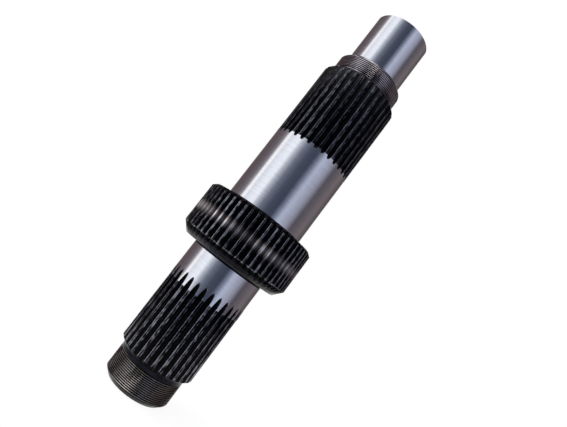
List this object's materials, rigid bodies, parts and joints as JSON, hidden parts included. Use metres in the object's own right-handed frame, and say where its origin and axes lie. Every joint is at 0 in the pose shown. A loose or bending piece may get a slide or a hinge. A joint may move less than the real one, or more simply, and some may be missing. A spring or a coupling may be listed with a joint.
{
  "type": "splined shaft",
  "caption": "Gearbox shaft with two involute splines running out into ground journals, a toothed clutch ring between them and lock-nut threads.",
  "frame": {"origin": "centre of the lower end face, on the axis, where the upright shaft stands", "axes": "+Z along the shaft's axis, from the lower thread towards the end journal"},
  "size_m": [0.098, 0.098, 0.362],
  "materials": {
    "steel": "ground bright on the journals and on a narrow band round the ring; oily and dark on teeth, splines and threads"
  },
  "bodies": {
    "root": {"splined_shaft": "steel"}
  },
  "joints": []
}
